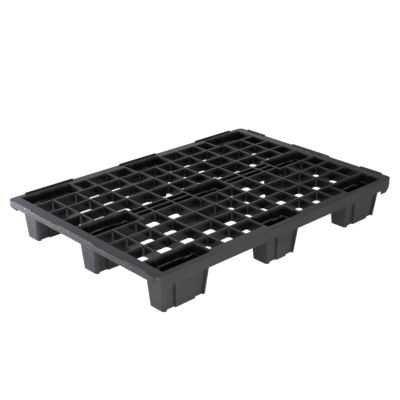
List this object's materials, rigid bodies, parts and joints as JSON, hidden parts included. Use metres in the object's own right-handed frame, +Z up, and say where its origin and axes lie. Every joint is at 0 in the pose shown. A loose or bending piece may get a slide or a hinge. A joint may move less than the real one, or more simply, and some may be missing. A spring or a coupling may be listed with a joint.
{
  "type": "nestable plastic pallet",
  "caption": "Nestable open-deck plastic pallet with ribbed grid deck, raised edge lips, skirted rim and hollow fluted feet for four-way fork entry.",
  "frame": {"origin": "on the floor, under the centre of the deck", "axes": "+X along the 1200 mm length, +Y along the 800 mm width, +Z up; front is -Y, left is -X"},
  "size_m": [1.2, 0.8, 0.155],
  "materials": {
    "recycled_plastic": "black recycled polyolefin, as moulded, satin with light scuffing"
  },
  "bodies": {
    "root": {"band_grid_back_left": "recycled_plastic", "band_grid_back_right": "recycled_plastic", "band_grid_centre_back": "recycled_plastic", "band_grid_centre_front": "recycled_plastic", "band_grid_front_left": "recycled_plastic", "band_grid_front_right": "recycled_plastic", "corner_guard_back_left": "recycled_plastic", "corner_guard_back_right": "recycled_plastic", "corner_guard_front_left": "recycled_plastic", "corner_guard_front_right": "recycled_plastic", "end_rail_left": "recycled_plastic", "end_rail_right": "recycled_plastic", "foot_back_centre": "recycled_plastic", "foot_back_left": "recycled_plastic", "foot_back_right": "recycled_plastic", "foot_front_centre": "recycled_plastic", "foot_front_left": "recycled_plastic", "foot_front_right": "recycled_plastic", "foot_middle_centre": "recycled_plastic", "foot_middle_left": "recycled_plastic", "foot_middle_right": "recycled_plastic", "middle_grid_left": "recycled_plastic", "middle_grid_right": "recycled_plastic", "outer_grid_back_left": "recycled_plastic", "outer_grid_back_right": "recycled_plastic", "outer_grid_front_left": "recycled_plastic", "outer_grid_front_right": "recycled_plastic", "side_rail_back": "recycled_plastic", "side_rail_front": "recycled_plastic"}
  },
  "joints": []
}
